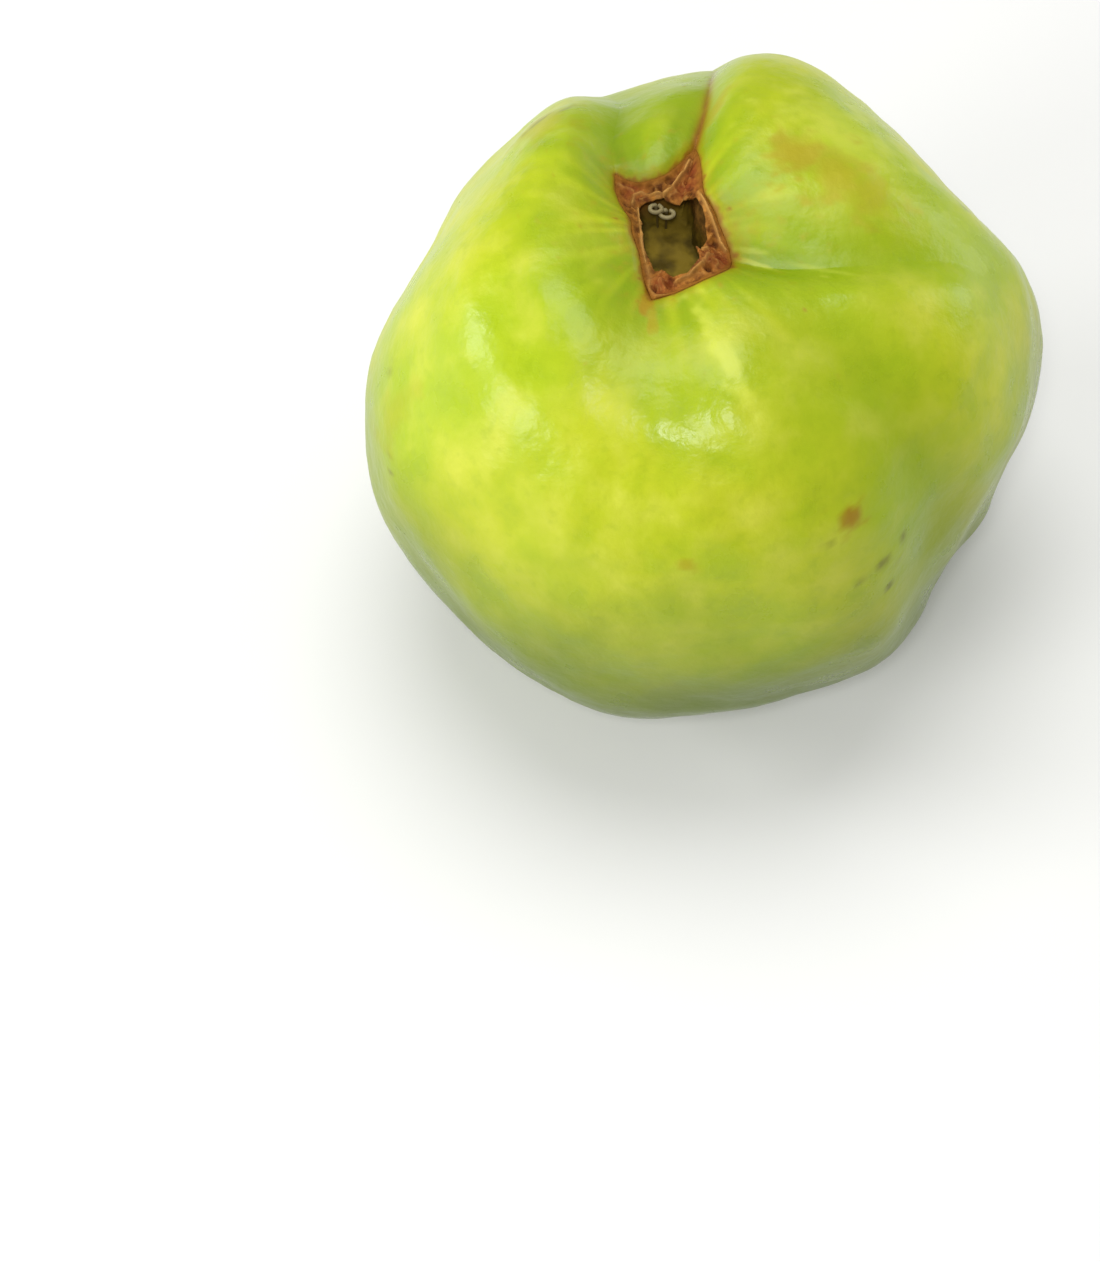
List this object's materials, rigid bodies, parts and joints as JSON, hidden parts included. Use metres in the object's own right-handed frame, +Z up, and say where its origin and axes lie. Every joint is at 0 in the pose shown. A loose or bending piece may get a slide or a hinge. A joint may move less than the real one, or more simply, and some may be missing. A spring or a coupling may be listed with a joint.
{
  "type": "guava",
  "caption": "Lobed green guava standing on its stalk end, with deep folds that run into a star-shaped dried calyx on top.",
  "frame": {"origin": "on the surface that the fruit stands on, under the middle of its bounding box", "axes": "+Z up from the stalk end to the calyx, +X to the right and +Y to the back of the fruit as its front is seen"},
  "size_m": [0.081, 0.0784, 0.0674],
  "materials": {
    "skin": "waxy yellow-green fruit skin with a soft gloss, darker green in its folds and a few brown marks",
    "dry_calyx": "dry crumpled brown sepals and an olive-brown cup, matt",
    "dry_stamen": "dry cream threads, matt",
    "stalk_wood": "dry grey-brown stalk with a paler cut face, matt"
  },
  "bodies": {
    "root": {"fruit": "skin", "calyx": "dry_calyx", "stamens": "dry_stamen", "stalk": "stalk_wood"}
  },
  "joints": []
}
